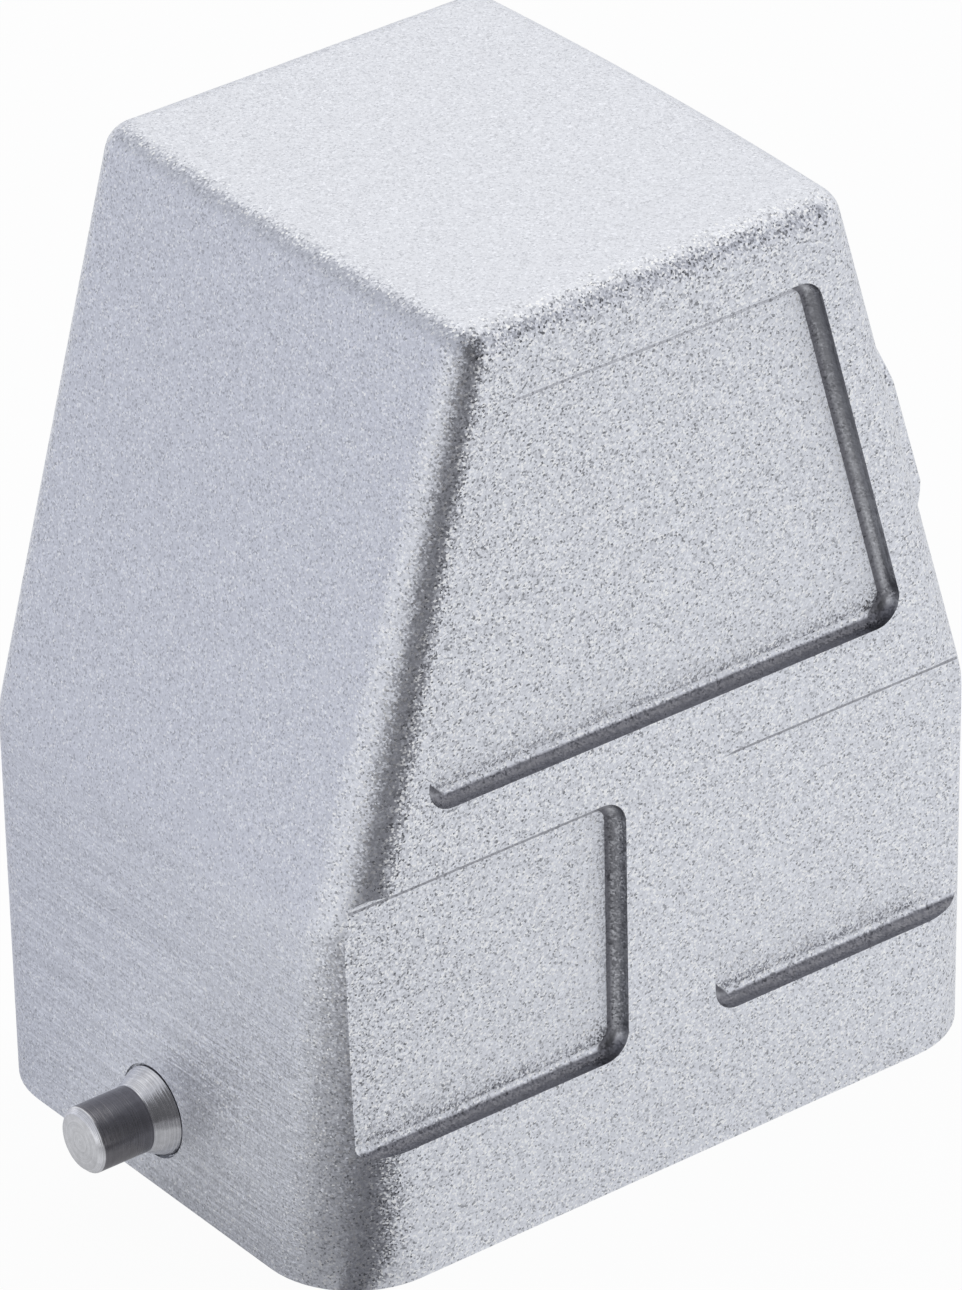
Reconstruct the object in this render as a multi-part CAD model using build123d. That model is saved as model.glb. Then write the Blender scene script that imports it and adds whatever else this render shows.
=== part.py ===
from build123d import *
import math
import os

# Rectangular heavy-duty connector hood, size 6, high construction, side cable entry.
# One bare aluminium die casting and two turned steel locking pegs.
# Frame: origin at the centre of the open rim, Z up, X along the length with the cable
# entry on the +X end, Y across, the panelled long sides at -Y and +Y. Millimetres.

# Outer form of the casting, lengths measured over the corners
RIM_LENGTH = 60.0
RIM_WIDTH = 43.0
BEND_HEIGHT = 29.3
BEND_LENGTH = 57.3
BEND_WIDTH = 43.0
HEIGHT = 72.0
TOP_LENGTH = 33.2
TOP_WIDTH = 41.8
RIM_CORNER_RADIUS = 7.5
BEND_CORNER_RADIUS = 4.2
TOP_CORNER_RADIUS = 2.6
TOP_EDGE_RADIUS = 2.4
BEND_BLEND = 1.4
BEND_CROWN = 0.25
TOP_CROWN = 0.5

# Cavity, open at the rim
RIM_WALL = 3.5
END_WALL = 3.1
SIDE_WALL = 3.7
ROOF = 3.0
CAVITY_CORNER_RADIUS = 3.0
CAVITY_ROOF_RADIUS = 2.0

# Recesses of the two long sides
RECESS_DEPTH = 1.25
RECESS_DRAFT = 5.0
RECESS_FLOOR_RADIUS = 0.95
RECESS_CORNER_RADIUS = 2.0
PANEL_BOTTOM = 36.9
PANEL_TOP = 66.4
PANEL_BOTTOM_LENGTH = 42.6
PANEL_TOP_LENGTH = 27.4
POCKET_BOTTOM = 10.9
POCKET_TOP = 32.0
POCKET_WEB = 7.8

# Cable entry in the sloping +X end
ENTRY_HEIGHT = 46.2
ENTRY_BOSS_DIAMETER = 31.4
ENTRY_BOSS_WIDTH = 30.0
ENTRY_BOSS_PROUD = 3.2
ENTRY_BOSS_EDGE = 0.5
ENTRY_BORE_DIAMETER = 23.5
ENTRY_CHAMFER = 0.8
ENTRY_RELIEF_DIAMETER = 26.0
ENTRY_RELIEF_DEPTH = 6.0

# Tapped corner posts that carry the contact insert
SCREW_SPACING_X = 44.0
SCREW_SPACING_Y = 27.0
SCREW_SEAT_HEIGHT = 12.0
SCREW_POST_RADIUS = 4.0
SCREW_CORE_DIAMETER = 3.3
SCREW_CORE_DEPTH = 10.0

# Locking pegs, riveted through the end walls
PEG_HEIGHT = 6.0
PEG_SPAN = 72.2
PEG_DIAMETER = 5.0
PEG_CHAMFER = 0.4
PEG_COLLAR_DIAMETER = 6.8
PEG_CONE_LENGTH = 1.7
PEG_SEAT_GAP = 0.15
PEG_SEAT_DEPTH = 0.15
PEG_SHANK_DIAMETER = 4.0
PEG_HEAD_DIAMETER = 5.8
PEG_HEAD_THICKNESS = 0.9


def between(height, low, low_value, high, high_value):
    """A value that changes evenly between two heights."""
    return low_value + (high_value - low_value) * (height - low) / (high - low)


def outer_half_length(height):
    """Half the outer length over the corners, at a height."""
    if height <= BEND_HEIGHT:
        return between(height, 0.0, RIM_LENGTH / 2, BEND_HEIGHT, BEND_LENGTH / 2)
    return between(height, BEND_HEIGHT, BEND_LENGTH / 2, HEIGHT, TOP_LENGTH / 2)


def outer_half_width(height):
    """Half the outer width at a height."""
    if height <= BEND_HEIGHT:
        return between(height, 0.0, RIM_WIDTH / 2, BEND_HEIGHT, BEND_WIDTH / 2)
    return between(height, BEND_HEIGHT, BEND_WIDTH / 2, HEIGHT, TOP_WIDTH / 2)


def cavity_half_length(height):
    """Half the cavity's length at a height below the bend."""
    return between(height, 0.0, RIM_LENGTH / 2 - RIM_WALL, BEND_HEIGHT, BEND_LENGTH / 2 - END_WALL)


def end_slope():
    """Lean of the sloping ends from the vertical, in radians."""
    return math.atan((BEND_LENGTH - TOP_LENGTH) / 2 / (HEIGHT - BEND_HEIGHT))


def side_slope():
    """Lean of the long sides above the bend, in radians."""
    return math.atan((BEND_WIDTH - TOP_WIDTH) / 2 / (HEIGHT - BEND_HEIGHT))


def quarter_section(half_length, half_width, radius, crown):
    """Points of one quarter: side tangent, corner middle, end tangent, crown of the end."""
    corner_y = half_width - radius
    if crown == 0:
        corner_x = half_length - radius
        turn = 0.0
    else:
        end_radius = (corner_y**2 + crown**2) / (2 * crown)
        end_centre = half_length + crown - end_radius
        corner_x = end_centre + math.sqrt((end_radius - radius) ** 2 - corner_y**2)
        turn = math.atan2(corner_y, corner_x - end_centre)
    middle = (math.pi / 2 + turn) / 2
    return [
        (corner_x, half_width),
        (corner_x + radius * math.cos(middle), corner_y + radius * math.sin(middle)),
        (corner_x + radius * math.cos(turn), corner_y + radius * math.sin(turn)),
        (half_length + crown, 0.0),
    ]


def section(height, half_length, half_width, radius, crown=0.0):
    """Closed outline across the hood: straight sides, round corners, crowned ends."""
    side, corner, end, tip = quarter_section(half_length, half_width, radius, crown)

    def place(point, sign_x, sign_y):
        return Vector(sign_x * point[0], sign_y * point[1], height)

    edges = []
    for sign in (1, -1):
        near = [place(point, sign, -sign) for point in (side, corner, end)]
        far = [place(point, sign, sign) for point in (side, corner, end)]
        edges.append(Edge.make_line(place(side, -sign, -sign), near[0]))
        edges.append(Edge.make_three_point_arc(*near))
        if crown == 0:
            edges.append(Edge.make_line(near[2], far[2]))
        else:
            edges.append(Edge.make_three_point_arc(near[2], place(tip, sign, sign), far[2]))
        edges.append(Edge.make_three_point_arc(far[2], far[1], far[0]))
    return Wire(edges)


def blended_half_length(height):
    """Half the outer length with the bend rounded: an even change of slope over its height."""
    low = BEND_HEIGHT - BEND_BLEND
    high = BEND_HEIGHT + BEND_BLEND
    share = (height - low) / (high - low)
    start, middle, end = (outer_half_length(z) for z in (low, BEND_HEIGHT, high))
    return start * (1 - share) ** 2 + 2 * middle * share * (1 - share) + end * share**2


def outer_section(height, half_length):
    """Outer outline at a height, its corners tightening and its ends crowning upwards."""
    if height <= BEND_HEIGHT:
        radius = between(height, 0.0, RIM_CORNER_RADIUS, BEND_HEIGHT, BEND_CORNER_RADIUS)
        crown = between(height, 0.0, 0.0, BEND_HEIGHT, BEND_CROWN)
    else:
        radius = between(height, BEND_HEIGHT, BEND_CORNER_RADIUS, HEIGHT, TOP_CORNER_RADIUS)
        crown = between(height, BEND_HEIGHT, BEND_CROWN, HEIGHT, TOP_CROWN)
    return section(height, half_length, outer_half_width(height), radius, crown)


def outer_body():
    """The solid outer form, with the bend and the top edges rounded."""
    low = BEND_HEIGHT - BEND_BLEND
    high = BEND_HEIGHT + BEND_BLEND
    steps = [low + (high - low) * step / 4 for step in range(5)]
    rim = outer_section(0.0, outer_half_length(0.0))
    bend = [outer_section(height, blended_half_length(height)) for height in steps]
    top = outer_section(HEIGHT, outer_half_length(HEIGHT))
    body = Part() + Solid.make_loft([rim, bend[0]], True)
    body += Solid.make_loft(bend)
    body += Solid.make_loft([bend[-1], top], True)
    return fillet(body.faces().sort_by(Axis.Z)[-1].edges(), TOP_EDGE_RADIUS)


def cavity():
    """The space inside, open at the rim."""
    ceiling = HEIGHT - ROOF
    slant_wall = END_WALL / math.cos(end_slope())
    rim = section(0.0, cavity_half_length(0.0), RIM_WIDTH / 2 - RIM_WALL, CAVITY_CORNER_RADIUS)
    bend_width = BEND_WIDTH / 2 - SIDE_WALL
    bend = section(BEND_HEIGHT, cavity_half_length(BEND_HEIGHT), bend_width, CAVITY_CORNER_RADIUS)
    top = section(
        ceiling,
        outer_half_length(ceiling) - slant_wall,
        outer_half_width(ceiling) - SIDE_WALL,
        CAVITY_CORNER_RADIUS,
    )
    space = Part() + Solid.make_loft([rim, bend], True) + Solid.make_loft([bend, top], True)
    return fillet(space.faces().sort_by(Axis.Z)[-1].edges(), CAVITY_ROOF_RADIUS)


def long_side_plane(height):
    """Plane on the outside of the -Y side, its own Y axis running up from the height."""
    lean = side_slope() if height >= BEND_HEIGHT else 0.0
    origin = (0, -outer_half_width(height), height)
    return Plane(origin=origin, x_dir=(1, 0, 0), z_dir=(0, -math.cos(lean), math.sin(lean)))


def recess(outline, plane):
    """Cutter for one recess: drafted walls and a round edge all along its floor."""
    outline = plane * fillet(outline.vertices(), RECESS_CORNER_RADIUS)
    sunk = extrude(outline, amount=-RECESS_DEPTH, taper=RECESS_DRAFT)
    floor = sunk.faces().sort_by(Axis(plane.origin, plane.z_dir))[0]
    sunk = fillet(floor.edges(), RECESS_FLOOR_RADIUS)
    return sunk + extrude(outline, amount=RECESS_DEPTH)


def panel_recess():
    """The tapered panel above the bend, its ends parallel to the sloping ends."""
    plane = long_side_plane(PANEL_BOTTOM)
    top = (PANEL_TOP - PANEL_BOTTOM) / math.cos(side_slope())
    outline = Polygon(
        (-PANEL_BOTTOM_LENGTH / 2, 0),
        (PANEL_BOTTOM_LENGTH / 2, 0),
        (PANEL_TOP_LENGTH / 2, top),
        (-PANEL_TOP_LENGTH / 2, top),
        align=None,
    )
    return recess(outline, plane)


def pocket_recess():
    """The low pocket of the -X half, which runs out through the rounded corner."""
    plane = long_side_plane(0.0)
    inner = -POCKET_WEB / 2
    outer = -RIM_LENGTH / 2 - RIM_CORNER_RADIUS
    outline = Polygon(
        (outer, POCKET_BOTTOM),
        (inner, POCKET_BOTTOM),
        (inner, POCKET_TOP),
        (outer, POCKET_TOP),
        align=None,
    )
    return recess(outline, plane)


def long_side_recesses():
    """Panel and two pockets on each long side."""
    pocket = pocket_recess()
    front = [panel_recess(), pocket, mirror(pocket, about=Plane.YZ)]
    return front + [mirror(cutter, about=Plane.XZ) for cutter in front]


def entry_plane():
    """Plane on the sloping +X end, centred on the cable entry and facing out."""
    slope = end_slope()
    origin = (outer_half_length(ENTRY_HEIGHT), 0, ENTRY_HEIGHT)
    return Plane(origin=origin, x_dir=(0, 1, 0), z_dir=(math.cos(slope), 0, math.sin(slope)))


def entry_boss():
    """Round boss with a flat on each side, edge broken."""
    face = Circle(ENTRY_BOSS_DIAMETER / 2) & Rectangle(ENTRY_BOSS_WIDTH, 2 * ENTRY_BOSS_DIAMETER)
    boss = extrude(face, amount=ENTRY_BOSS_PROUD)
    boss = fillet(boss.faces().sort_by(Axis.Z)[-1].edges(), ENTRY_BOSS_EDGE)
    boss += extrude(face, amount=-END_WALL / 2)
    return entry_plane() * boss


def entry_bore():
    """Bore through boss and wall, chamfered for the thread, with room for it in the posts behind."""
    radius = ENTRY_BORE_DIAMETER / 2
    length = ENTRY_BOSS_PROUD + END_WALL
    bore = Pos(0, 0, ENTRY_BOSS_PROUD - length / 2) * Cylinder(radius, length)
    mouth = Pos(0, 0, ENTRY_BOSS_PROUD - ENTRY_CHAMFER / 2) * Cone(radius, radius + ENTRY_CHAMFER, ENTRY_CHAMFER)
    relief_middle = -END_WALL - ENTRY_RELIEF_DEPTH / 2
    relief = Pos(0, 0, relief_middle) * Cylinder(ENTRY_RELIEF_DIAMETER / 2, ENTRY_RELIEF_DEPTH)
    return entry_plane() * (bore + mouth + relief)


def screw_post():
    """Corner post that joins both walls, in the +X +Y corner."""
    x, y = SCREW_SPACING_X / 2, SCREW_SPACING_Y / 2
    reach = RIM_LENGTH / 2
    outline = Pos(x, y) * Circle(SCREW_POST_RADIUS)
    outline += Pos(x, y) * Rectangle(reach, SCREW_POST_RADIUS, align=(Align.MIN, Align.MIN))
    outline += Pos(x, y) * Rectangle(SCREW_POST_RADIUS, reach, align=(Align.MIN, Align.MIN))
    return Pos(0, 0, SCREW_SEAT_HEIGHT) * extrude(outline, amount=HEIGHT - SCREW_SEAT_HEIGHT)


def four_corners(shape):
    """A +X +Y shape with its mirror images in the other three corners."""
    pair = [shape, mirror(shape, about=Plane.YZ)]
    return pair + [mirror(one, about=Plane.XZ) for one in pair]


def screw_core():
    """Blind core hole for the insert's screw, in the +X +Y corner."""
    place = Pos(SCREW_SPACING_X / 2, SCREW_SPACING_Y / 2, SCREW_SEAT_HEIGHT + SCREW_CORE_DEPTH / 2)
    return place * Cylinder(SCREW_CORE_DIAMETER / 2, SCREW_CORE_DEPTH)


def peg_seat_x():
    """Where the collar's seat lies, just under the drafted end wall."""
    seat_top = PEG_HEIGHT + PEG_COLLAR_DIAMETER / 2 + PEG_SEAT_GAP
    return outer_half_length(seat_top) - PEG_SEAT_DEPTH


def turned(points):
    """Solid turned about the peg's axis from (x, radius) points."""
    outline = Plane.XZ * Polygon(*points, align=None)
    return Pos(0, 0, PEG_HEIGHT) * revolve(outline, Axis.X)


def peg_shank_points():
    """Shank and countersunk rivet head, from the cavity to the collar's seat."""
    head = cavity_half_length(PEG_HEIGHT)
    return [
        (head, 0),
        (head, PEG_HEAD_DIAMETER / 2),
        (head + PEG_HEAD_THICKNESS, PEG_SHANK_DIAMETER / 2),
        (peg_seat_x(), PEG_SHANK_DIAMETER / 2),
    ]


def locking_peg():
    """Turned peg of the +X end: head, shank, collar, cone and chamfered pin."""
    cone = outer_half_length(PEG_HEIGHT)
    tip = PEG_SPAN / 2
    points = peg_shank_points() + [
        (peg_seat_x(), PEG_COLLAR_DIAMETER / 2),
        (cone, PEG_COLLAR_DIAMETER / 2),
        (cone + PEG_CONE_LENGTH, PEG_DIAMETER / 2),
        (tip - PEG_CHAMFER, PEG_DIAMETER / 2),
        (tip, PEG_DIAMETER / 2 - PEG_CHAMFER),
        (tip, 0),
    ]
    return turned(points)


def peg_hole():
    """Hole and countersink for the shank, and the spot face round the collar."""
    seat = PEG_COLLAR_DIAMETER / 2 + PEG_SEAT_GAP
    outside = PEG_SPAN / 2
    points = peg_shank_points() + [(peg_seat_x(), seat), (outside, seat), (outside, 0)]
    inside = cavity_half_length(PEG_HEIGHT) - END_WALL / 2
    points = [(inside, 0), (inside, PEG_HEAD_DIAMETER / 2)] + points[1:]
    return turned(points)


def hood_body():
    """The casting: shell, entry boss, corner posts, recesses and holes."""
    outside = outer_body()
    posts = [post & outside for post in four_corners(screw_post())]
    body = outside + entry_boss() - cavity()
    for post in posts:
        body += post
    body -= entry_bore()
    hole = peg_hole()
    cutters = long_side_recesses() + four_corners(screw_core()) + [hole, mirror(hole, about=Plane.YZ)]
    for cutter in cutters:
        body -= cutter
    return body


def main():
    """Build each piece and write it to its own file."""
    os.makedirs("parts", exist_ok=True)
    peg = locking_peg()
    pieces = {
        "hood_body": hood_body(),
        "locking_peg_right": peg,
        "locking_peg_left": mirror(peg, about=Plane.YZ),
    }
    for name, piece in pieces.items():
        export_step(piece, f"parts/{name}.step")
        print(name, round(piece.volume, 1), "mm3")


if __name__ == "__main__":
    main()
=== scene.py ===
"""Looks of a rectangular heavy-duty connector hood: blasted casting, brushed ends, turned pegs.

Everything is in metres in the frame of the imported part: origin at the centre of the open
rim, Z up, the cable entry on the +X end. Lengths in the classes below are in millimetres.
"""

import logging
import math
from dataclasses import dataclass
from enum import Enum
from typing import Optional, Union

import bmesh
import bpy
from mathutils import Matrix, Vector

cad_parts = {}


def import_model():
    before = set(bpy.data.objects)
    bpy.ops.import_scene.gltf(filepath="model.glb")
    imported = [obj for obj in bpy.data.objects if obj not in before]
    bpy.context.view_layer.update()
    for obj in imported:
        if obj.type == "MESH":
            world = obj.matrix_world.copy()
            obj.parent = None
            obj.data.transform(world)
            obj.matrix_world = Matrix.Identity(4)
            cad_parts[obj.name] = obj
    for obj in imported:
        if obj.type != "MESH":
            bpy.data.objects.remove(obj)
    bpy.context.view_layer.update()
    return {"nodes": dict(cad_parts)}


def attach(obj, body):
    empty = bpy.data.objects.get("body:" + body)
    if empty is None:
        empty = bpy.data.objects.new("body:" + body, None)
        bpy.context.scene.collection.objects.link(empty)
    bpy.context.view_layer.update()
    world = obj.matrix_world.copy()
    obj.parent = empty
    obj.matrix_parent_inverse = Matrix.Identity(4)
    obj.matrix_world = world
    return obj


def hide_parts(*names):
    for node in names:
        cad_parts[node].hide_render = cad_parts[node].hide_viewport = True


MM = 0.001
LOG = logging.getLogger("hood")
Socket = bpy.types.NodeSocket
Value = Union[float, Socket]
Triple = tuple[float, float, float]
Pair = tuple[float, float]
Quad = tuple[float, float, float, float]


class End(Enum):
    """The two short ends of the hood, by the sign of X."""

    LEFT = -1
    RIGHT = 1


def colour(code: str) -> Quad:
    """Turn an sRGB hex value into a linear colour.

    Args:
        code: Six hex digits after a hash, such as "#C8CACD".

    Returns:
        Linear red, green and blue, and an alpha of 1.
    """
    parts = [int(code[i:i + 2], 16) / 255 for i in (1, 3, 5)]
    linear = [c / 12.92 if c <= 0.04045 else ((c + 0.055) / 1.055) ** 2.4 for c in parts]
    return (linear[0], linear[1], linear[2], 1.0)


def add_node(tree: bpy.types.NodeTree, kind: str, settings: Optional[dict] = None,
             inputs: Optional[dict] = None) -> bpy.types.Node:
    """Add one node to a tree.

    Args:
        tree: The material's or world's node tree.
        kind: The node's type name, such as "ShaderNodeMath".
        settings: Properties of the node by name.
        inputs: Values or output sockets for the node's inputs, by name or number.

    Returns:
        The new node.
    """
    node = tree.nodes.new(kind)
    for name, value in (settings or {}).items():
        setattr(node, name, value)
    for key, value in (inputs or {}).items():
        if isinstance(value, Socket):
            tree.links.new(value, node.inputs[key])
        else:
            node.inputs[key].default_value = value
    return node


def arith(tree: bpy.types.NodeTree, operation: str, *values: Value) -> Socket:
    """Add one arithmetic node.

    Args:
        tree: The node tree.
        operation: What the node does, such as "MULTIPLY".
        values: Numbers or sockets, in the order of the node's inputs.

    Returns:
        The result.
    """
    node = add_node(tree, "ShaderNodeMath", {"operation": operation}, dict(enumerate(values)))
    return node.outputs["Value"]


def vector_math(tree: bpy.types.NodeTree, operation: str, *values: object,
                out: str = "Vector") -> Socket:
    """Add one vector node.

    Args:
        tree: The node tree.
        operation: What the node does, such as "SUBTRACT".
        values: Vectors or sockets, in the order of the node's inputs.
        out: Name of the output that is wanted.

    Returns:
        The result.
    """
    node = add_node(tree, "ShaderNodeVectorMath", {"operation": operation}, dict(enumerate(values)))
    return node.outputs[out]


def ramp(tree: bpy.types.NodeTree, value: Socket, source: Pair, target: Pair = (0.0, 1.0),
         smooth: bool = False, clamp: bool = True) -> Socket:
    """Map a value from one range to another.

    Args:
        tree: The node tree.
        value: The value.
        source: The two values that give the two ends of the target.
        target: The two results.
        smooth: Whether the change is soft at both ends.
        clamp: Whether the result stays between the two ends.

    Returns:
        The mapped value.
    """
    settings = {"interpolation_type": "SMOOTHSTEP" if smooth else "LINEAR", "clamp": clamp}
    return add_node(tree, "ShaderNodeMapRange", settings,
                    {"Value": value, "From Min": source[0], "From Max": source[1],
                     "To Min": target[0], "To Max": target[1]}).outputs["Result"]


def metres(lengths_mm: tuple[float, ...]) -> tuple[float, ...]:
    """Return lengths in metres."""
    return tuple(length * MM for length in lengths_mm)


def split(tree: bpy.types.NodeTree, vector: Socket) -> tuple[Socket, ...]:
    """Return a vector's X, Y and Z as three sockets."""
    return tuple(add_node(tree, "ShaderNodeSeparateXYZ", {}, {0: vector}).outputs)


def mix(tree: bpy.types.NodeTree, share: Value, first: object, second: object,
        kind: str = "MIX") -> Socket:
    """Blend two colours.

    Args:
        tree: The node tree.
        share: 0 for the first colour and 1 for the second.
        first: The first colour's hex value, or its socket.
        second: The second colour's hex value, or its socket.
        kind: "MIX", or "MULTIPLY" for the product.

    Returns:
        The blended colour.
    """
    pair = [colour(one) if isinstance(one, str) else one for one in (first, second)]
    return add_node(tree, "ShaderNodeMix", {"data_type": "RGBA", "blend_type": kind},
                    {"Factor": share, "A": pair[0], "B": pair[1]}).outputs["Result"]


def noise(tree: bpy.types.NodeTree, place: Socket, size_mm: float, detail: float) -> Socket:
    """Add a noise pattern in three dimensions.

    Args:
        tree: The node tree.
        place: Object coordinates.
        size_mm: Size of the pattern's features.
        detail: How many finer layers it has.

    Returns:
        The pattern, from 0 to 1.
    """
    return add_node(tree, "ShaderNodeTexNoise", {"noise_dimensions": "3D"},
                    {"Vector": place, "Scale": 1 / (size_mm * MM), "Detail": detail}).outputs["Fac"]


def facing(tree: bpy.types.NodeTree) -> Socket:
    """Return the surface's own normal with each part made positive."""
    return vector_math(tree, "ABSOLUTE", add_node(tree, "ShaderNodeNewGeometry").outputs["Normal"])


def finish_metal(tree: bpy.types.NodeTree, inputs: dict) -> None:
    """Close a material's tree with a bare metal surface of the given inputs."""
    surface = add_node(tree, "ShaderNodeBsdfPrincipled", {}, {"Metallic": 1.0, **inputs})
    add_node(tree, "ShaderNodeOutputMaterial", {}, {"Surface": surface.outputs["BSDF"]})


def new_material(name: str) -> tuple[bpy.types.Material, bpy.types.NodeTree]:
    """Make an empty node material.

    Args:
        name: The material's name.

    Returns:
        The material and its cleared node tree.
    """
    material = bpy.data.materials.new(name)
    material.use_nodes = True
    material.node_tree.nodes.clear()
    return material, material.node_tree


def dress(piece: bpy.types.Object, material: bpy.types.Material) -> None:
    """Give a piece one material in place of those it has."""
    piece.data.materials.clear()
    piece.data.materials.append(material)


@dataclass(frozen=True)
class BlastedAluminium:
    """Bare die-cast aluminium, blasted with fine grit: a matt skin of tiny bright and dark facets.

    On the lower part of the two short ends it is brushed, which leaves fine lines across them.
    The steep walls and ledges of the recesses take darker colours: painted shade, where the recesses shade
    themselves.
    """

    name: str = "blasted_aluminium"
    base: str = "#E5E7ED"
    # painted shade on the recesses' walls and ledges, and on the hair lines under their roofs
    side_wall_painted_shade: str = "#BEBFC3"
    foot_wall_painted_shade: str = "#74747A"
    ledge_painted_shade: str = "#8A8A90"
    roughness: float = 0.32
    brushed_roughness: float = 0.46
    facet_mm: float = 0.14
    facet_tilt: float = 0.36
    cove_tilt: float = 0.10
    # how far a facet darkens or brightens on the ends, the long sides and the top
    spread: Triple = (0.30, 0.60, 0.20)
    # how much of that is left on the recesses' walls
    wall_calm: float = 0.35
    # the higher it is, the fewer grains stand out
    contrast: float = 3.0
    swell_mm: float = 1.1
    relief_mm: float = 0.05
    line_mm: float = 0.30
    line_length_mm: float = 14.0
    line_limits: Pair = (0.40, 0.68)
    line_heights: Pair = (-0.4, 0.6)
    line_tint: Pair = (0.93, 1.105)
    line_relief: float = 0.5
    brushed_top_mm: float = 34.0
    brushed_full: float = 0.6
    end_reach_mm: float = 27.0
    # parts of the normal between which a place starts to belong to an end, a wall and so on
    end_facing: Pair = (0.9, 0.97)
    side_facing: Pair = (0.02, 0.055)
    ledge_facing: Pair = (0.42, 0.60)
    cove_facing: Pair = (0.04, 0.12)
    foot_facing: Pair = (0.80, 0.96)
    ledge_shade_facing: Pair = (0.3, 0.6)
    # the recesses lie beyond this distance from the middle, between these two heights
    recess_reach_mm: float = 19.4
    recess_band_mm: Pair = (9.6, 67.0)
    pocket_limit_mm: float = 33.0
    # the long sides' flat part: its greatest half length, and height and half length at bend and top
    flat_low_mm: float = 22.4
    flat_bend_mm: Pair = (29.3, 24.0)
    flat_top_mm: Pair = (72.0, 13.6)
    # height of the shade, half width of the recess floor and half length, in mm, and strength
    roofs: tuple[Quad, ...] = ((30.98, 20.25, 27.0, 0.75), (65.30, 19.75, 13.2, 0.45))
    roof_depth_mm: float = 0.35
    hair_mm: float = 0.12

    def facets(self, tree: bpy.types.NodeTree, place: Socket, normal: Socket,
               coves: Socket) -> tuple[Socket, Socket]:
        """Tilt each blasted grain its own way, which makes it glint or darken.

        Args:
            tree: The material's node tree.
            place: Object coordinates.
            normal: The normal that the grains lie on.
            coves: 1 in the coves at the foot of the recesses' walls, where the grains lie flatter.

        Returns:
            The tilted normal, and a random value from 0 to 1 for each grain.
        """
        cells = add_node(tree, "ShaderNodeTexVoronoi", {"voronoi_dimensions": "3D", "feature": "F1"},
                         {"Vector": place, "Scale": 1 / (self.facet_mm * MM), "Randomness": 1.0})
        lean = vector_math(tree, "SUBTRACT", cells.outputs["Color"], (0.5, 0.5, 0.5))
        tilt = ramp(tree, coves, (0.0, 1.0), (self.facet_tilt, self.cove_tilt))
        lean = add_node(tree, "ShaderNodeVectorMath", {"operation": "SCALE"},
                        {0: lean, "Scale": tilt}).outputs["Vector"]
        tilted = vector_math(tree, "NORMALIZE", vector_math(tree, "ADD", normal, lean))
        return tilted, split(tree, cells.outputs["Color"])[0]

    def brushing(self, tree: bpy.types.NodeTree, place: Socket) -> tuple[Socket, Socket]:
        """Add the fine lines along Y that brushing leaves on the lower part of the short ends.

        Args:
            tree: The material's node tree.
            place: Object coordinates.

        Returns:
            The lines' height, 0 where nothing is brushed, and how strongly each place is brushed.
        """
        fine, along = 1 / (self.line_mm * MM), 1 / (self.line_length_mm * MM)
        stretched = add_node(tree, "ShaderNodeMapping", {"vector_type": "POINT"},
                             {"Vector": place, "Scale": (fine, along, fine)}).outputs["Vector"]
        lines = add_node(tree, "ShaderNodeTexNoise", {"noise_dimensions": "3D"},
                         {"Vector": stretched, "Scale": 1.0, "Detail": 2.0, "Roughness": 0.7})
        across, _, height = split(tree, place)
        top = self.brushed_top_mm * MM
        share = ramp(tree, height, (top, self.brushed_full * top), smooth=True)
        endward = ramp(tree, split(tree, facing(tree))[0], self.end_facing)
        share = arith(tree, "MULTIPLY", share, endward)
        outside = arith(tree, "GREATER_THAN", arith(tree, "ABSOLUTE", across), self.end_reach_mm * MM)
        share = arith(tree, "MULTIPLY", share, outside)
        sharp = ramp(tree, lines.outputs["Fac"], self.line_limits, self.line_heights)
        return arith(tree, "MULTIPLY", sharp, share), share

    def recess_walls(self, tree: bpy.types.NodeTree, place: Socket) -> tuple[Socket, Socket]:
        """Find the steep walls of the recesses in the long sides, which get painted shade, and the coves
        over their ledges.

        Args:
            tree: The material's node tree.
            place: Object coordinates.

        Returns:
            1 on the walls and 0 elsewhere, and the same for the coves.
        """
        across, depth, height = split(tree, place)
        across, depth = arith(tree, "ABSOLUTE", across), arith(tree, "ABSOLUTE", depth)
        toward_end, _, upward = split(tree, facing(tree))
        upright = ramp(tree, toward_end, self.side_facing)
        ledge = ramp(tree, upward, self.ledge_facing)
        cove = arith(tree, "MINIMUM", ramp(tree, upward, self.cove_facing),
                     ramp(tree, upward, self.ledge_facing[::-1]))
        # the rounded corners, which the recesses run into, aren't walls
        bend, top = metres(self.flat_bend_mm), metres(self.flat_top_mm)
        limit = ramp(tree, height, (bend[0], top[0]), (bend[1], top[1]), clamp=False)
        limit = arith(tree, "MINIMUM", limit, self.flat_low_mm * MM)
        flat = arith(tree, "LESS_THAN", across, limit)
        low = arith(tree, "MAXIMUM", arith(tree, "LESS_THAN", height, self.pocket_limit_mm * MM), flat)
        wall = arith(tree, "MAXIMUM", arith(tree, "MULTIPLY", upright, flat),
                     arith(tree, "MULTIPLY", ledge, low))
        wall = arith(tree, "MULTIPLY", wall, arith(tree, "GREATER_THAN", depth, self.recess_reach_mm * MM))
        band = arith(tree, "MULTIPLY", arith(tree, "GREATER_THAN", height, self.recess_band_mm[0] * MM),
                     arith(tree, "LESS_THAN", height, self.recess_band_mm[1] * MM))
        cove = arith(tree, "MULTIPLY", arith(tree, "MULTIPLY", cove, low), band)
        return arith(tree, "MULTIPLY", wall, band), cove

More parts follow.
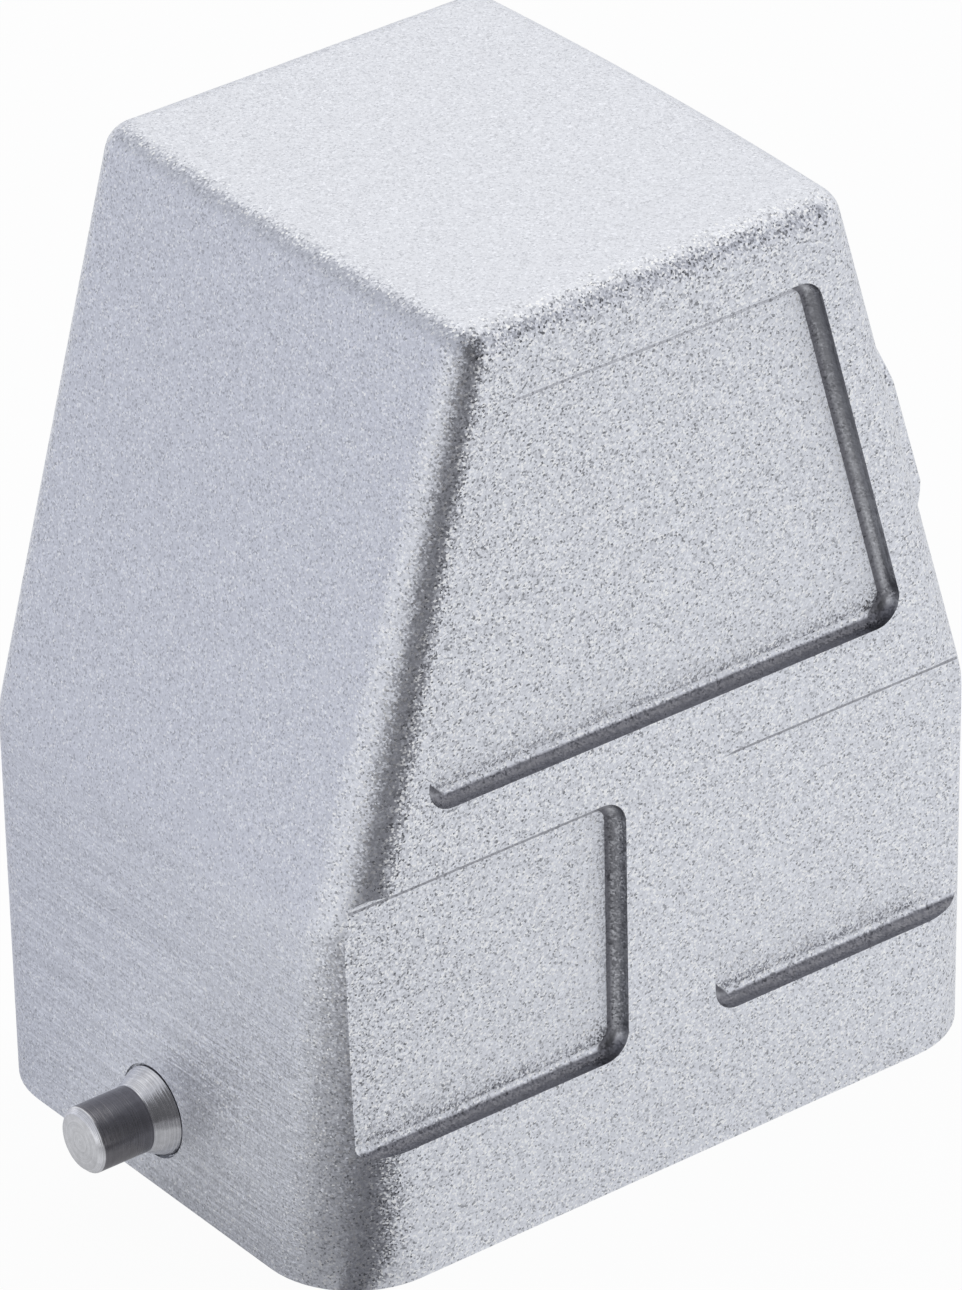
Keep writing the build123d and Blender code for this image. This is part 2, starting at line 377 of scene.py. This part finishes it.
    def roof_shade(self, tree: bpy.types.NodeTree, place: Socket) -> Socket:
        """Find the hair-thin shade that the roofs of the recesses leave on their floors.

        Args:
            tree: The material's node tree.
            place: Object coordinates.

        Returns:
            The shade's strength, 0 elsewhere.
        """
        across, depth, height = split(tree, place)
        across, depth = arith(tree, "ABSOLUTE", across), arith(tree, "ABSOLUTE", depth)
        total = None
        for level, floor, reach, strength in self.roofs:
            line = arith(tree, "COMPARE", height, level * MM, self.hair_mm * MM)
            inside = arith(tree, "COMPARE", depth, floor * MM, self.roof_depth_mm * MM)
            within = arith(tree, "LESS_THAN", across, reach * MM)
            for share in (inside, within, strength):
                line = arith(tree, "MULTIPLY", line, share)
            total = line if total is None else arith(tree, "MAXIMUM", total, line)
        return total

    def build(self) -> bpy.types.Material:
        """Build the node material.

        Returns:
            The material, patterned on Object coordinates.
        """
        material, tree = new_material(self.name)
        place = add_node(tree, "ShaderNodeTexCoord").outputs["Object"]
        lines, brushed = self.brushing(tree, place)
        walls, coves = self.recess_walls(tree, place)
        swell = noise(tree, place, self.swell_mm, 2.0)
        relief = arith(tree, "MULTIPLY_ADD", lines, self.line_relief, swell)
        bump = add_node(tree, "ShaderNodeBump", {},
                        {"Height": relief, "Strength": 1.0, "Distance": self.relief_mm * MM})
        tilted, luck = self.facets(tree, place, bump.outputs["Normal"], coves)
        # the long sides took the coarsest grit, and the top the least
        flat = facing(tree)
        spread = vector_math(tree, "DOT_PRODUCT", flat, self.spread, out="Value")
        spread = arith(tree, "MULTIPLY", spread, ramp(tree, walls, (0.0, 1.0), (1.0, self.wall_calm)))
        luck = arith(tree, "POWER", ramp(tree, luck, (0.0, 1.0), (-1.0, 1.0)), self.contrast)
        tint = arith(tree, "MULTIPLY_ADD", luck, spread, 1.0)
        tint = arith(tree, "MULTIPLY", tint, ramp(tree, lines, self.line_heights, self.line_tint))
        _, sideways, upward = split(tree, flat)
        # painted shade: the recesses' walls and ledges, and the hair line under each roof, take darker
        # colours
        wall = mix(tree, ramp(tree, sideways, self.foot_facing), self.side_wall_painted_shade, self.foot_wall_painted_shade)
        wall = mix(tree, ramp(tree, upward, self.ledge_shade_facing), wall, self.ledge_painted_shade)
        shade = mix(tree, 1.0, mix(tree, walls, self.base, wall), tint, "MULTIPLY")
        shade = mix(tree, self.roof_shade(tree, place), shade, self.ledge_painted_shade)
        matt = ramp(tree, brushed, (0.0, 1.0), (self.roughness, self.brushed_roughness))
        finish_metal(tree, {"Base Color": shade, "Roughness": matt, "Normal": tilted})
        return material


@dataclass(frozen=True)
class TurnedSteel:
    """Free-cutting steel, turned from drawn bar: the slanting cuts are bright, partly as cut and partly a
    painted highlight, with fine tool rings.

    The cylindrical faces are coloured darker.
    """

    name: str = "turned_steel"
    base: str = "#D6D6D8"
    # partly the bright cut, partly a painted highlight on the cone, chamfer and broken edges
    cut: str = "#F1F1F3"
    darker_flank: str = "#8F8D90"
    roughness: float = 0.22
    axis_height_mm: float = 6.0
    ring_mm: float = 0.16
    grain_mm: float = 0.5
    relief_mm: float = 0.012
    slant_facing: Pair = (0.95, 0.85)
    flank_facing: Pair = (0.22, 0.12)
    relief_limits: Pair = (0.6, 1.4)
    tint_limits: Pair = (0.80, 1.12)

    def build(self) -> bpy.types.Material:
        """Build the node material, with its rings round the axis of the pegs.

        Returns:
            The material, patterned on Object coordinates.
        """
        material, tree = new_material(self.name)
        place = add_node(tree, "ShaderNodeTexCoord").outputs["Object"]
        centred = vector_math(tree, "SUBTRACT", place, (0.0, 0.0, self.axis_height_mm * MM))
        spoke = vector_math(tree, "MULTIPLY", centred, (0.0, 1.0, 1.0))
        spoke = vector_math(tree, "LENGTH", spoke, out="Value")
        along = arith(tree, "ABSOLUTE", split(tree, centred)[0])
        # the tool's way along the outline, counted in rings
        feed = arith(tree, "MULTIPLY", arith(tree, "SUBTRACT", along, spoke), 1 / (self.ring_mm * MM))
        rings = add_node(tree, "ShaderNodeTexNoise", {"noise_dimensions": "1D"},
                         {"W": feed, "Scale": 1.0, "Detail": 1.0}).outputs["Fac"]
        relief = arith(tree, "ADD", rings, noise(tree, place, self.grain_mm, 2.0))
        bump = add_node(tree, "ShaderNodeBump", {},
                        {"Height": relief, "Strength": 1.0, "Distance": self.relief_mm * MM})
        endward = split(tree, facing(tree))[0]
        # the slanting faces take the lighter colour: partly the cut, partly a painted highlight
        skin = mix(tree, ramp(tree, endward, self.slant_facing), self.base, self.cut)
        skin = mix(tree, ramp(tree, endward, self.flank_facing), skin, self.darker_flank)
        tint = ramp(tree, relief, self.relief_limits, self.tint_limits)
        finish_metal(tree, {"Base Color": mix(tree, 1.0, skin, tint, "MULTIPLY"),
                            "Roughness": self.roughness, "Normal": bump.outputs["Normal"]})
        return material


@dataclass(frozen=True)
class TappedAluminium:
    """Die-cast aluminium where a tap and a countersink cut it: bright, smooth and a little warmer."""

    name: str = "tapped_aluminium"
    base: str = "#DDDCDD"
    roughness: float = 0.24
    scratch_mm: float = 0.4
    scratch_limits: Pair = (0.3, 0.7)

    def build(self) -> bpy.types.Material:
        """Build the node material.

        Returns:
            The material, patterned on Object coordinates.
        """
        material, tree = new_material(self.name)
        place = add_node(tree, "ShaderNodeTexCoord").outputs["Object"]
        dull = ramp(tree, noise(tree, place, self.scratch_mm, 3.0), self.scratch_limits,
                    (self.roughness, 2 * self.roughness))
        finish_metal(tree, {"Base Color": colour(self.base), "Roughness": dull})
        return material


@dataclass(frozen=True)
class Tapping:
    """One ISO metric thread, cut into the wall of a round hole."""

    mouth_mm: Triple
    inward: Triple
    core_mm: float
    major_mm: float
    pitch_mm: float
    depth_mm: float
    chamfer_mm: float = 0.0
    steps: int = 48
    # the section: whether a point is at the major radius, and its share of the pitch
    section: tuple[tuple[bool, float], ...] = (
        (False, 0.0), (False, 0.25), (True, 0.5625), (True, 0.6875), (False, 1.0))
    weld_mm: float = 0.002
    tolerance_mm: float = 0.02
    # length left at each end to join the thread to the hole
    margin_mm: float = 0.05
    # a face whose normal runs along the hole by more than this is no wall
    level: float = 0.9

    def frame(self) -> Matrix:
        """Return the matrix from the hole's own frame, Z inward from its mouth, to the part's."""
        turn = Vector((0, 0, 1)).rotation_difference(Vector(self.inward))
        return Matrix.Translation(Vector(self.mouth_mm) * MM) @ turn.to_matrix().to_4x4()

    def coil(self, start: float, stop: float) -> bpy.types.Mesh:
        """Wind the thread's surface and trim it square to the hole's axis.

        Args:
            start: Where it begins, in metres from the mouth.
            stop: Where it ends.

        Returns:
            The surface in the part's frame.
        """
        pitch, core, major = self.pitch_mm * MM, self.core_mm * MM / 2, self.major_mm * MM / 2
        bm = bmesh.new()
        # it begins two pitches early, and the trim below cuts it square
        verts = [bm.verts.new((major if crest else core, 0.0, start + (share - 2) * pitch))
                 for crest, share in self.section]
        edges = [bm.edges.new(pair) for pair in zip(verts, verts[1:])]
        turns = math.ceil((stop - start) / pitch) + 3
        bmesh.ops.spin(bm, geom=verts + edges, cent=(0, 0, 0), axis=(0, 0, 1), angle=2 * math.pi * turns,
                       steps=turns * self.steps, dvec=(0, 0, pitch / self.steps))
        bmesh.ops.remove_doubles(bm, verts=bm.verts, dist=self.weld_mm * MM)
        for height, outer in ((start, False), (stop, True)):
            bmesh.ops.bisect_plane(bm, geom=[*bm.verts, *bm.edges, *bm.faces], plane_co=(0, 0, height),
                                   plane_no=(0, 0, 1), clear_outer=outer, clear_inner=not outer)
        # the countersink at the mouth cuts the first turn away
        for vert in bm.verts:
            cone = core + self.chamfer_mm * MM - vert.co.z
            spoke = math.hypot(vert.co.x, vert.co.y)
            if self.chamfer_mm and spoke < cone:
                bmesh.ops.scale(bm, vec=(cone / spoke, cone / spoke, 1), verts=[vert])
        bmesh.ops.transform(bm, matrix=self.frame(), verts=bm.verts)
        mesh = bpy.data.meshes.new("coil")
        bm.to_mesh(mesh)
        bm.free()
        return mesh

    def on_wall(self, spot: Vector) -> bool:
        """Tell whether a place lies on the hole's wall or its chamfer.

        Args:
            spot: The place in the hole's own frame.

        Returns:
            Whether it does.
        """
        tol, reach = self.tolerance_mm * MM, self.core_mm * MM / 2
        if not -tol < spot.z < self.depth_mm * MM + tol:
            return False
        return abs(math.hypot(spot.x, spot.y) - max(reach, reach + self.chamfer_mm * MM - spot.z)) < tol

    def cut(self, bm: bmesh.types.BMesh) -> int:
        """Replace the hole's plain wall by the thread.

        Args:
            bm: The merged casting.

        Returns:
            How many faces the thread has.
        """
        home = self.frame().inverted()
        depth, margin = self.depth_mm * MM, self.margin_mm * MM
        wall = [face for face in bm.faces if all(self.on_wall(home @ v.co) for v in face.verts)
                and abs((home.to_3x3() @ face.normal).z) < self.level]
        bmesh.ops.delete(bm, geom=wall, context="FACES")
        loose = [e for e in bm.edges if len(e.link_faces) == 1]
        front = [e for e in loose if (home @ e.verts[0].co).z < depth / 2]
        back = [e for e in loose if e not in front]
        start = max((home @ v.co).z for e in front for v in e.verts) + margin
        stop = min((home @ v.co).z for e in back for v in e.verts) - margin
        known, rims = set(bm.faces), set(loose)
        mesh = self.coil(start, stop)
        bm.from_mesh(mesh)
        bpy.data.meshes.remove(mesh)
        fresh = [e for e in bm.edges if len(e.link_faces) == 1 and e not in rims]
        middle = (start + stop) / 2
        near = [e for e in fresh if (home @ e.verts[0].co).z < middle]
        far = [e for e in fresh if (home @ e.verts[0].co).z >= middle]
        for pair in (front + near, back + far):
            bmesh.ops.bridge_loops(bm, edges=pair)
        threaded = [face for face in bm.faces if face not in known]
        for face in threaded:
            face.material_index = 1
            face.smooth = True
        return len(threaded)


@dataclass
class Casting:
    """The hood's one die casting, with its machined threads."""

    node: str = "hood_body"
    slot: str = "blasted_aluminium"
    entry_mm: Triple = (26.960, 0.0, 47.069)
    entry_axis: Triple = (-0.962412, 0.0, -0.271594)
    screw_spacing_mm: Pair = (44.0, 27.0)
    screw_seat_mm: float = 12.0
    weld_mm: float = 0.0005
    sharp_deg: float = 40.0

    def tappings(self) -> list[Tapping]:
        """List the threads.

        Returns:
            M25 x 1.5 for the cable gland, and M4 for each of the insert's four screws.
        """
        entry = Tapping(self.entry_mm, self.entry_axis, core_mm=23.5, major_mm=25.0, pitch_mm=1.5,
                        depth_mm=6.3, chamfer_mm=0.8, steps=72)
        along, across = self.screw_spacing_mm[0] / 2, self.screw_spacing_mm[1] / 2
        screws = [Tapping((x, y, self.screw_seat_mm), (0.0, 0.0, 1.0), core_mm=3.3, major_mm=4.0,
                          pitch_mm=0.7, depth_mm=10.0, steps=24)
                  for x in (-along, along) for y in (-across, across)]
        return [entry, *screws]

    def build(self, source: bpy.types.Object) -> bpy.types.Object:
        """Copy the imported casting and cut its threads.

        Args:
            source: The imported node, which stays as it is.

        Returns:
            The threaded casting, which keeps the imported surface's own normals.
        """
        mesh = source.data.copy()
        mesh.name = "casting"
        mesh.materials.clear()
        kept = mesh.attributes.new("kept_normal", "FLOAT_VECTOR", "CORNER")
        kept.data.foreach_set("vector", [c for corner in mesh.corner_normals for c in corner.vector])
        if "custom_normal" in mesh.attributes:
            mesh.attributes.remove(mesh.attributes["custom_normal"])
        bm = bmesh.new()
        bm.from_mesh(mesh)
        bmesh.ops.remove_doubles(bm, verts=bm.verts, dist=self.weld_mm * MM)
        for tapping in self.tappings():
            LOG.info("thread M%g x %g: %d faces", tapping.major_mm, tapping.pitch_mm, tapping.cut(bm))
        bmesh.ops.recalc_face_normals(bm, faces=bm.faces)
        open_edges = sum(1 for e in bm.edges if len(e.link_faces) != 2)
        LOG.info("casting: %d faces, %d open edges", len(bm.faces), open_edges)
        bm.to_mesh(mesh)
        bm.free()
        mesh.set_sharp_from_angle(angle=math.radians(self.sharp_deg))
        fresh = [corner.vector.copy() for corner in mesh.corner_normals]
        kept = [item.vector.copy() for item in mesh.attributes["kept_normal"].data]
        # a corner that a thread brought has no kept normal: its length is 0
        normals = [old if old.length > 0.5 else new for old, new in zip(kept, fresh)]
        mesh.attributes.remove(mesh.attributes["kept_normal"])
        mesh.normals_split_custom_set(normals)
        piece = bpy.data.objects.new("casting", mesh)
        bpy.context.scene.collection.objects.link(piece)
        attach(piece, "root")
        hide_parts(self.node)
        return piece

    def dress(self, piece: bpy.types.Object, cast: bpy.types.Material, tapped: bpy.types.Material) -> None:
        """Give the casting its blasted skin, and its threads their cut one.

        Args:
            piece: The threaded casting.
            cast: Skin of the casting.
            tapped: Skin of the threads.
        """
        piece.data.materials.append(cast)
        piece.data.materials.append(tapped)


@dataclass
class LockingPeg:
    """Steel peg turned about X and riveted through one end wall, for the locking lever to grip."""

    end: End
    slot: str = "turned_steel"
    height_mm: float = 6.0
    head_mm: float = 26.306
    head_radius_mm: float = 2.9
    head_thickness_mm: float = 0.9
    shank_radius_mm: float = 2.0
    seat_mm: float = 29.410
    collar_radius_mm: float = 3.4
    cone_mm: float = 29.724
    cone_length_mm: float = 1.7
    pin_radius_mm: float = 2.5
    tip_mm: float = 36.1
    chamfer_mm: float = 0.4
    edge_mm: float = 0.07
    steps: int = 128
    weld_mm: float = 0.001
    sharp_deg: float = 35.0

    def outline(self) -> list[Pair]:
        """Draw the turned outline from the head's middle to the tip's.

        Returns:
            Distances from the middle of the hood and radii, in millimetres.
        """
        return [(self.head_mm, 0.0), (self.head_mm, self.head_radius_mm),
                (self.head_mm + self.head_thickness_mm, self.shank_radius_mm),
                (self.seat_mm, self.shank_radius_mm), (self.seat_mm, self.collar_radius_mm),
                (self.cone_mm, self.collar_radius_mm),
                (self.cone_mm + self.cone_length_mm, self.pin_radius_mm),
                (self.tip_mm - self.chamfer_mm, self.pin_radius_mm),
                (self.tip_mm, self.pin_radius_mm - self.chamfer_mm), (self.tip_mm, 0.0)]

    def build(self) -> bpy.types.Object:
        """Turn the peg on its axis, with each edge slightly broken.

        Returns:
            The peg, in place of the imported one.
        """
        side, height = self.end.value, self.height_mm * MM
        bm = bmesh.new()
        verts = [bm.verts.new((side * x * MM, 0.0, height + radius * MM)) for x, radius in self.outline()]
        for pair in zip(verts, verts[1:]):
            bm.edges.new(pair)
        bmesh.ops.bevel(bm, geom=verts[1:-1], offset=self.edge_mm * MM, offset_type="OFFSET", segments=2,
                        profile=0.5, affect="VERTICES", material=-1)
        bmesh.ops.spin(bm, geom=[*bm.verts, *bm.edges], cent=(0, 0, height), axis=(1, 0, 0),
                       angle=2 * math.pi, steps=self.steps, use_merge=True)
        bmesh.ops.remove_doubles(bm, verts=bm.verts, dist=self.weld_mm * MM)
        bmesh.ops.recalc_face_normals(bm, faces=bm.faces)
        for face in bm.faces:
            face.smooth = True
        name = f"turned_peg_{self.end.name.lower()}"
        mesh = bpy.data.meshes.new(name)
        bm.to_mesh(mesh)
        open_edges = sum(1 for e in bm.edges if len(e.link_faces) != 2)
        LOG.info("%s: %d faces, %d open edges", name, len(bm.faces), open_edges)
        bm.free()
        mesh.set_sharp_from_angle(angle=math.radians(self.sharp_deg))
        piece = bpy.data.objects.new(name, mesh)
        bpy.context.scene.collection.objects.link(piece)
        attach(piece, "root")
        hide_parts(f"locking_peg_{self.end.name.lower()}")
        return piece

    def dress(self, piece: bpy.types.Object, steel: bpy.types.Material) -> None:
        """Give the peg its turned steel."""
        dress(piece, steel)


# a round spot: its middle, the radii where it ends and is full, in mm, and its strength
Spot = tuple[Triple, Pair, float]


@dataclass
class Studio:
    """Pale floor, soft light and the camera at the photograph's angle.

    A light tent stands round the object, with a large soft light above and behind it. The side toward the
    camera is left dark, and the floor there carries a painted shadow; the metal mirrors both, which draws
    the dark line down the front corner.
    """

    camera_mm: Triple = (-362.115, -478.545, 387.175)
    camera_turn_deg: Triple = (59.4401, 1.05691, -37.74759)
    lens_mm: float = 275.267
    sensor_mm: float = 36.0
    clip_m: Pair = (0.05, 20.0)
    floor_mm: float = 3000.0
    floor_drop_mm: float = 0.02
    floor_paint: str = "#F4F5F7"
    floor_light: str = "#F7F8FA"
    # painted shade: the floor that the metal mirrors is greyer to the left, where light falls off
    floor_grey_painted_shade: str = "#D4D6E0"
    floor_glow: float = 0.7
    floor_white: float = 0.96
    wall_light: str = "#EEEFF3"
    wall_grey: str = "#D8DAE3"
    wall_high: str = "#BFC1C8"
    high_limits: Pair = (0.2, 0.5)
    # painted shadow on the floor, in the dark sector, spots and band, which the metal mirrors
    dark: str = "#8C8C90"
    dark_heading_deg: float = 254.5
    dark_limits: Pair = (0.68, 0.972)
    dark_high: str = "#5A5A5D"
    # painted contact shadow: the dark colour deepens toward the front corner
    painted_contact_shadow: str = "#77777B"
    painted_contact_shadow_mm: Pair = (70.0, 30.0)
    corner_mm: Triple = (-27.0, -18.0, 0.0)
    # painted shadows on the floor
    far_painted_shadow: Spot = ((-58.0, -30.0, 0.0), (42.0, 10.0), 0.66)
    near_painted_shadow: Spot = ((-36.0, -24.0, 0.0), (16.0, 4.0), 0.8)
    # the painted shadow band beside the left end, as ranges of X and Y
    band_x_mm: Pair = (-50.0, -29.0)
    band_front_mm: Pair = (10.0, -2.0)
    band_front_share: Pair = (0.15, 0.6)
    band_side_mm: Pair = (-36.0, -22.0)
    band_limit_mm: float = -26.5
    grey_heading_deg: float = 130.0
    grey_limits: Pair = (0.766, 0.985)
    lamp_heading_deg: float = 28.0
    lamp_rise_deg: float = 46.0
    lamp_limits: Pair = (0.60, 0.88)

    def toward(self, tree: bpy.types.NodeTree, direction: Socket, heading_deg: float,
               limits: Pair) -> Socket:
        """Find how far a direction points to one compass heading.

        Args:
            tree: The node tree of the floor or the world.
            direction: Any direction, of which the part along the floor counts.
            heading_deg: The heading, in degrees from +X toward +Y.
            limits: Cosines of the angles at which the result is 0 and 1.

        Returns:
            0 away from the heading and 1 at it, with a soft change between.
        """
        level = vector_math(tree, "NORMALIZE", vector_math(tree, "MULTIPLY", direction, (1.0, 1.0, 0.0)))
        turn = math.radians(heading_deg)
        aim = (math.cos(turn), math.sin(turn), 0.0)
        return ramp(tree, vector_math(tree, "DOT_PRODUCT", level, aim, out="Value"), limits, smooth=True)

    def spot(self, tree: bpy.types.NodeTree, place: Socket, shape: Spot) -> Socket:
        """Find a soft round spot on the floor.

        Args:
            tree: The floor's node tree.
            place: Object coordinates.
            shape: Its middle, the radii where it ends and is full, in mm, and its strength.

        Returns:
            The strength, 0 outside.
        """
        middle, radii, strength = shape
        away = vector_math(tree, "DISTANCE", place, metres(middle), out="Value")
        return ramp(tree, away, metres(radii), (0.0, strength), smooth=True)

    def band(self, tree: bpy.types.NodeTree, place: Socket) -> Socket:
        """Find the floor close to the left end, where a painted shadow stands for the object's own shade.

        Args:
            tree: The floor's node tree.
            place: Object coordinates.

        Returns:
            The shade's strength, 0 elsewhere.
        """
        along, across, _ = split(tree, place)
        near = ramp(tree, along, metres(self.band_x_mm), smooth=True)
        front = ramp(tree, across, metres(self.band_front_mm), self.band_front_share, smooth=True)
        side = ramp(tree, across, metres(self.band_side_mm), smooth=True)
        left = arith(tree, "LESS_THAN", along, self.band_limit_mm * MM)
        for share in (front, side, left):
            near = arith(tree, "MULTIPLY", near, share)
        return near

    def floor_material(self) -> bpy.types.Material:
        """Build the pale floor, white to the camera, with painted shadows and painted shade that the metal
        mirrors.

        Returns:
            The material.
        """
        material, tree = new_material("pale_floor")
        place = add_node(tree, "ShaderNodeTexCoord").outputs["Object"]
        corner = vector_math(tree, "SUBTRACT", place, metres(self.corner_mm))
        # painted shadow: a dark sector on the camera's side, spots, and a band by the left end
        dark = self.toward(tree, corner, self.dark_heading_deg, self.dark_limits)
        close = arith(tree, "MAXIMUM", self.band(tree, place), self.spot(tree, place, self.near_painted_shadow))
        dark = arith(tree, "MAXIMUM", dark, self.spot(tree, place, self.far_painted_shadow))
        dark = arith(tree, "MAXIMUM", dark, close)
        # painted shade: greyer toward the left
        grey = self.toward(tree, place, self.grey_heading_deg, self.grey_limits)
        away = vector_math(tree, "LENGTH", corner, out="Value")
        deep = ramp(tree, away, metres(self.painted_contact_shadow_mm), smooth=True)
        shown = mix(tree, grey, self.floor_light, self.floor_grey_painted_shade)
        shown = mix(tree, dark, shown, mix(tree, deep, self.dark, self.painted_contact_shadow))
        paint = mix(tree, dark, self.floor_paint, self.dark)
        matt = add_node(tree, "ShaderNodeBsdfDiffuse", {}, {"Color": paint})
        glow = add_node(tree, "ShaderNodeEmission", {}, {"Color": shown, "Strength": 1.0})
        white = add_node(tree, "ShaderNodeEmission", {}, {"Color": colour("#FFFFFF"), "Strength": 1.0})
        path = add_node(tree, "ShaderNodeLightPath")
        both = add_node(tree, "ShaderNodeMixShader", {},
                        {0: arith(tree, "MULTIPLY", path.outputs["Is Glossy Ray"], self.floor_glow),
                         1: matt.outputs["BSDF"], 2: glow.outputs["Emission"]})
        both = add_node(tree, "ShaderNodeMixShader", {},
                        {0: arith(tree, "MULTIPLY", path.outputs["Is Camera Ray"], self.floor_white),
                         1: both.outputs["Shader"], 2: white.outputs["Emission"]})
        add_node(tree, "ShaderNodeOutputMaterial", {}, {"Surface": both.outputs["Shader"]})
        return material

    def floor(self) -> None:
        """Lay a large pale floor that looks white to the camera and keeps a faint shadow."""
        bm = bmesh.new()
        bmesh.ops.create_grid(bm, x_segments=1, y_segments=1, size=self.floor_mm * MM / 2)
        # a hair under the rim, so that the two don't flicker where they touch
        bmesh.ops.translate(bm, vec=(0, 0, -self.floor_drop_mm * MM), verts=bm.verts)
        mesh = bpy.data.meshes.new("floor")
        bm.to_mesh(mesh)
        bm.free()
        piece = bpy.data.objects.new("floor", mesh)
        bpy.context.scene.collection.objects.link(piece)
        dress(piece, self.floor_material())

    def tent(self) -> None:
        """Light the scene from all round, and show the camera plain white."""
        world = bpy.data.worlds.new("studio")
        world.use_nodes = True
        tree = world.node_tree
        tree.nodes.clear()
        look = add_node(tree, "ShaderNodeTexCoord").outputs["Generated"]
        high = ramp(tree, split(tree, look)[2], self.high_limits, smooth=True)
        grey = self.toward(tree, look, self.grey_heading_deg, self.grey_limits)
        wall = mix(tree, high, mix(tree, grey, self.wall_light, self.wall_grey), self.wall_high)
        dark = self.toward(tree, look, self.dark_heading_deg, self.dark_limits)
        wall = mix(tree, dark, wall, self.dark_high)
        turn, up = math.radians(self.lamp_heading_deg), math.radians(self.lamp_rise_deg)
        aim = (math.cos(up) * math.cos(turn), math.cos(up) * math.sin(turn), math.sin(up))
        near = vector_math(tree, "DOT_PRODUCT", look, aim, out="Value")
        wall = mix(tree, ramp(tree, near, self.lamp_limits, smooth=True), wall, "#FFFFFF")
        path = add_node(tree, "ShaderNodeLightPath")
        seen = add_node(tree, "ShaderNodeBackground", {}, {"Color": colour("#FFFFFF"), "Strength": 1.0})
        lit = add_node(tree, "ShaderNodeBackground", {}, {"Color": wall, "Strength": 1.0})
        both = add_node(tree, "ShaderNodeMixShader", {},
                        {0: path.outputs["Is Camera Ray"], 1: lit.outputs["Background"],
                         2: seen.outputs["Background"]})
        add_node(tree, "ShaderNodeOutputWorld", {}, {"Surface": both.outputs["Shader"]})
        bpy.context.scene.world = world

    def camera(self) -> None:
        """Stand the camera where the photograph was taken from."""
        lens = bpy.data.cameras.new("camera")
        lens.sensor_fit = "VERTICAL"
        lens.sensor_height = self.sensor_mm
        lens.lens = self.lens_mm
        lens.clip_start, lens.clip_end = self.clip_m
        piece = bpy.data.objects.new("camera", lens)
        piece.location = Vector(self.camera_mm) * MM
        piece.rotation_euler = [math.radians(a) for a in self.camera_turn_deg]
        bpy.context.scene.collection.objects.link(piece)
        bpy.context.scene.camera = piece

    def build(self) -> None:
        """Set up floor, light and camera."""
        self.floor()
        self.tent()
        self.camera()
        bpy.context.scene.view_settings.view_transform = "Standard"


def main() -> None:
    """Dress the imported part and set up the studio."""
    logging.basicConfig(level=logging.INFO, format="%(name)s: %(message)s")
    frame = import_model()
    blasted = BlastedAluminium().build()
    steel = TurnedSteel().build()
    tapped = TappedAluminium().build()
    casting = Casting()
    casting.dress(casting.build(frame["nodes"]["hood_body"]), blasted, tapped)
    for end in End:
        peg = LockingPeg(end)
        peg.dress(peg.build(), steel)
    Studio().build()


if __name__ == "__main__":
    main()
